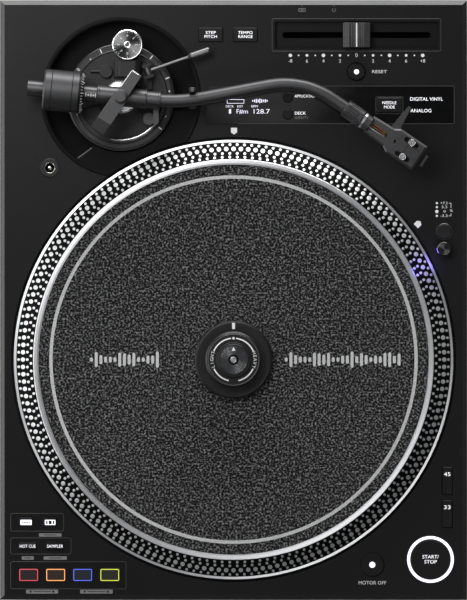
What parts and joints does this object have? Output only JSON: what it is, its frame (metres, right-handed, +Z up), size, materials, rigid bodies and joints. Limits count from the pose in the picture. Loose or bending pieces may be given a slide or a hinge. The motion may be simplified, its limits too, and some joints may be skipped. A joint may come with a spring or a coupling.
{
  "type": "turntable record player",
  "caption": "Direct-drive record player with an S-shaped tonearm, pitch slider, start button, pads and a clamped slipmat, in an upright layout.",
  "frame": {"origin": "on the floor, under the middle of the case", "axes": "+X to the player's right, +Y away from the player (the long way of the case), +Z up"},
  "size_m": [0.353, 0.453, 0.159],
  "materials": {
    "deck_metal": "satin black paint",
    "plinth_plastic": "matt",
    "rubber": "matt",
    "steel": "plain",
    "brass": "turned",
    "bezel_plastic": "fine matt",
    "display_window": "polished",
    "lit_white": "lit from behind",
    "turned_metal": "turned and polished",
    "socket_metal": "nickel and plastic",
    "well_plastic": "satin",
    "platter_metal": "polished edges, black band",
    "felt": "speckled felt",
    "knob_plastic": "satin",
    "base_metal": "satin black",
    "ring_metal": "satin black",
    "lifter_metal": "satin",
    "arm_metal": "dark satin",
    "tube_metal": "dark polished",
    "shell_metal": "satin",
    "weight_metal": "dark satin",
    "key_plastic": "satin"
  },
  "bodies": {
    "case": {"top_deck": "deck_metal", "plinth": "plinth_plastic", "bottom_cover": "rubber", "cover_screws": "steel", "feet": "rubber", "deck_bezels": "bezel_plastic", "shell_stand": "bezel_plastic", "display_panel": "display_window", "start_ring": "lit_white", "strobe_lamp": "turned_metal", "rear_sockets": "socket_metal", "motor_stator": "steel", "spindle_bearing": "brass", "tonearm_well": "well_plastic"},
    "platter": {"platter": "platter_metal", "rotor_magnet": "steel", "spindle": "steel"},
    "slipmat": {"slipmat": "felt"},
    "clamp": {"clamp_base": "knob_plastic"},
    "clamp_knob": {"clamp_knob": "knob_plastic"},
    "arm_base": {"arm_base": "base_metal", "arm_rest": "base_metal"},
    "height_ring": {"height_ring": "ring_metal"},
    "anti_skate_knob": {"anti_skate_knob": "turned_metal"},
    "lock_lever": {"lock_lever": "base_metal"},
    "cue_lever": {"cue_lever": "turned_metal"},
    "lifter": {"lifter": "lifter_metal"},
    "arm_clip": {"arm_clamp": "turned_metal"},
    "yoke": {"gimbal_yoke": "arm_metal"},
    "tonearm": {"pivot_housing": "arm_metal", "arm_tube": "tube_metal", "headshell": "shell_metal", "cartridge": "knob_plastic", "stylus": "knob_plastic", "headshell_screws": "turned_metal"},
    "locking_nut": {"locking_nut": "arm_metal"},
    "weight_core": {"counterweight_core": "bezel_plastic"},
    "counterweight": {"counterweight": "weight_metal"},
    "tracking_dial": {"tracking_dial": "bezel_plastic"},
    "pitch_slider": {"pitch_slider": "knob_plastic"},
    "target_light": {"target_light": "knob_plastic"},
    "power_switch": {"power_switch": "bezel_plastic"},
    "key_step_pitch": {"key_step_pitch": "key_plastic"},
    "key_tempo_range": {"key_tempo_range": "key_plastic"},
    "key_needle_mode": {"key_needle_mode": "key_plastic"},
    "key_speed_45": {"key_speed_45": "key_plastic"},
    "key_speed_33": {"key_speed_33": "key_plastic"},
    "key_shift": {"key_shift": "key_plastic"},
    "key_page": {"key_page": "key_plastic"},
    "key_mode_left": {"key_mode_left": "key_plastic"},
    "key_mode_right": {"key_mode_right": "key_plastic"},
    "pad_1": {"pad_1": "key_plastic"},
    "pad_2": {"pad_2": "key_plastic"},
    "pad_3": {"pad_3": "key_plastic"},
    "pad_4": {"pad_4": "key_plastic"},
    "key_start_stop": {"key_start_stop": "key_plastic"},
    "key_motor_off": {"key_motor_off": "key_plastic"},
    "key_reset": {"key_reset": "key_plastic"},
    "key_display_upper": {"key_display_upper": "key_plastic"},
    "key_display_lower": {"key_display_lower": "key_plastic"}
  },
  "joints": [
    {"name": "platter_spin", "type": "hinge", "parent": "case", "child": "platter", "pos_m": [0, -0.045, 0.117], "axis": [0, 0, -1], "continuous": true},
    {"name": "slipmat_slip", "type": "hinge", "parent": "platter", "child": "slipmat", "pos_m": [0, -0.045, 0.117], "axis": [0, 0, -1], "continuous": true},
    {"name": "clamp_lift", "type": "slide", "parent": "slipmat", "child": "clamp", "axis": [0, 0, 1], "range_m": [0, 0.025]},
    {"name": "clamp_turn", "type": "hinge", "parent": "clamp", "child": "clamp_knob", "pos_m": [0, -0.045, 0.13], "axis": [0, 0, -1], "range_deg": [-110, 110]},
    {"name": "arm_height", "type": "slide", "parent": "case", "child": "arm_base", "axis": [0, 0, 1], "range_m": [0, 0.006]},
    {"name": "ring_turn", "type": "hinge", "parent": "case", "child": "height_ring", "pos_m": [-0.085, 0.1532, 0.1], "axis": [0, 0, 1], "range_deg": [0, 300]},
    {"name": "anti_skate_turn", "type": "hinge", "parent": "arm_base", "child": "anti_skate_knob", "pos_m": [-0.0801, 0.1927, 0.118], "axis": [0, 0, -1], "range_deg": [0, 270]},
    {"name": "arm_lock", "type": "hinge", "parent": "arm_base", "child": "lock_lever", "pos_m": [-0.0963, 0.1726, 0.106], "axis": [0, 0, 1], "range_deg": [0, 60]},
    {"name": "cue_lift", "type": "hinge", "parent": "arm_base", "child": "cue_lever", "pos_m": [-0.0646, 0.1728, 0.117], "axis": [0.3256, -0.9455, 0], "range_deg": [0, 40]},
    {"name": "lifter_rise", "type": "slide", "parent": "arm_base", "child": "lifter", "axis": [0, 0, 1], "range_m": [0, 0.0024]},
    {"name": "arm_clip_close", "type": "hinge", "parent": "arm_base", "child": "arm_clip", "pos_m": [-0.031, 0.159, 0.1438], "axis": [-1, 0, 0], "range_deg": [-90, 0]},
    {"name": "arm_swing", "type": "hinge", "parent": "arm_base", "child": "yoke", "pos_m": [-0.085, 0.1532, 0.11], "axis": [0, 0, 1], "range_deg": [-41, 0]},
    {"name": "arm_tilt", "type": "hinge", "parent": "yoke", "child": "tonearm", "pos_m": [-0.085, 0.1532, 0.137], "axis": [-0.5621, -0.8271, 0], "range_deg": [0, 12]},
    {"name": "nut_turn", "type": "hinge", "parent": "tonearm", "child": "locking_nut", "pos_m": [0.09052, 0.14062, 0.137], "axis": [0.8271, -0.5621, 0], "range_deg": [-30, 0]},
    {"name": "weight_travel", "type": "slide", "parent": "tonearm", "child": "weight_core", "axis": [0.9954, -0.0958, 0], "range_m": [-0.004, 0.004]},
    {"name": "weight_turn", "type": "hinge", "parent": "weight_core", "child": "counterweight", "pos_m": [-0.12979, 0.15751, 0.137], "axis": [0.9954, -0.0958, 0], "range_deg": [-720, 720]},
    {"name": "dial_turn", "type": "hinge", "parent": "counterweight", "child": "tracking_dial", "pos_m": [-0.12979, 0.15751, 0.137], "axis": [0.9954, -0.0958, 0], "range_deg": [-180, 180]},
    {"name": "pitch_slide", "type": "slide", "parent": "case", "child": "pitch_slider", "axis": [1, 0, 0], "range_m": [-0.05, 0.05]},
    {"name": "target_light_rise", "type": "slide", "parent": "case", "child": "target_light", "axis": [0, 0, 1], "range_m": [0, 0.014]},
    {"name": "power_press", "type": "slide", "parent": "case", "child": "power_switch", "axis": [0, -1, 0], "range_m": [0, 0.003], "stiffness_N_per_m": 400, "springref_m": -0.001},
    {"name": "key_step_pitch_press", "type": "slide", "parent": "case", "child": "key_step_pitch", "axis": [0, 0, -1], "range_m": [0, 0.0012], "stiffness_N_per_m": 400, "springref_m": -0.001},
    {"name": "key_tempo_range_press", "type": "slide", "parent": "case", "child": "key_tempo_range", "axis": [0, 0, -1], "range_m": [0, 0.0012], "stiffness_N_per_m": 400, "springref_m": -0.001},
    {"name": "key_needle_mode_press", "type": "slide", "parent": "case", "child": "key_needle_mode", "axis": [0, 0, -1], "range_m": [0, 0.0012], "stiffness_N_per_m": 400, "springref_m": -0.001},
    {"name": "key_speed_45_press", "type": "slide", "parent": "case", "child": "key_speed_45", "axis": [0, 0, -1], "range_m": [0, 0.0012], "stiffness_N_per_m": 400, "springref_m": -0.001},
    {"name": "key_speed_33_press", "type": "slide", "parent": "case", "child": "key_speed_33", "axis": [0, 0, -1], "range_m": [0, 0.0012], "stiffness_N_per_m": 400, "springref_m": -0.001},
    {"name": "key_shift_press", "type": "slide", "parent": "case", "child": "key_shift", "axis": [0, 0, -1], "range_m": [0, 0.0012], "stiffness_N_per_m": 400, "springref_m": -0.001},
    {"name": "key_page_press", "type": "slide", "parent": "case", "child": "key_page", "axis": [0, 0, -1], "range_m": [0, 0.0012], "stiffness_N_per_m": 400, "springref_m": -0.001},
    {"name": "key_mode_left_press", "type": "slide", "parent": "case", "child": "key_mode_left", "axis": [0, 0, -1], "range_m": [0, 0.0012], "stiffness_N_per_m": 400, "springref_m": -0.001},
    {"name": "key_mode_right_press", "type": "slide", "parent": "case", "child": "key_mode_right", "axis": [0, 0, -1], "range_m": [0, 0.0012], "stiffness_N_per_m": 400, "springref_m": -0.001},
    {"name": "pad_1_press", "type": "slide", "parent": "case", "child": "pad_1", "axis": [0, 0, -1], "range_m": [0, 0.0012], "stiffness_N_per_m": 400, "springref_m": -0.001},
    {"name": "pad_2_press", "type": "slide", "parent": "case", "child": "pad_2", "axis": [0, 0, -1], "range_m": [0, 0.0012], "stiffness_N_per_m": 400, "springref_m": -0.001},
    {"name": "pad_3_press", "type": "slide", "parent": "case", "child": "pad_3", "axis": [0, 0, -1], "range_m": [0, 0.0012], "stiffness_N_per_m": 400, "springref_m": -0.001},
    {"name": "pad_4_press", "type": "slide", "parent": "case", "child": "pad_4", "axis": [0, 0, -1], "range_m": [0, 0.0012], "stiffness_N_per_m": 400, "springref_m": -0.001},
    {"name": "key_start_stop_press", "type": "slide", "parent": "case", "child": "key_start_stop", "axis": [0, 0, -1], "range_m": [0, 0.0012], "stiffness_N_per_m": 400, "springref_m": -0.001},
    {"name": "key_motor_off_press", "type": "slide", "parent": "case", "child": "key_motor_off", "axis": [0, 0, -1], "range_m": [0, 0.0012], "stiffness_N_per_m": 400, "springref_m": -0.001},
    {"name": "key_reset_press", "type": "slide", "parent": "case", "child": "key_reset", "axis": [0, 0, -1], "range_m": [0, 0.0012], "stiffness_N_per_m": 400, "springref_m": -0.001},
    {"name": "key_display_upper_press", "type": "slide", "parent": "case", "child": "key_display_upper", "axis": [0, 0, -1], "range_m": [0, 0.0012], "stiffness_N_per_m": 400, "springref_m": -0.001},
    {"name": "key_display_lower_press", "type": "slide", "parent": "case", "child": "key_display_lower", "axis": [0, 0, -1], "range_m": [0, 0.0012], "stiffness_N_per_m": 400, "springref_m": -0.001}
  ],
  "couplings": [
    {"joint": "ring_turn", "follows": "arm_height", "rad_per_m": 872.66},
    {"joint": "cue_lift", "follows": "lifter_rise", "rad_per_m": 290.89},
    {"joint": "weight_turn", "follows": "weight_travel", "rad_per_m": 3141.6}
  ]
}
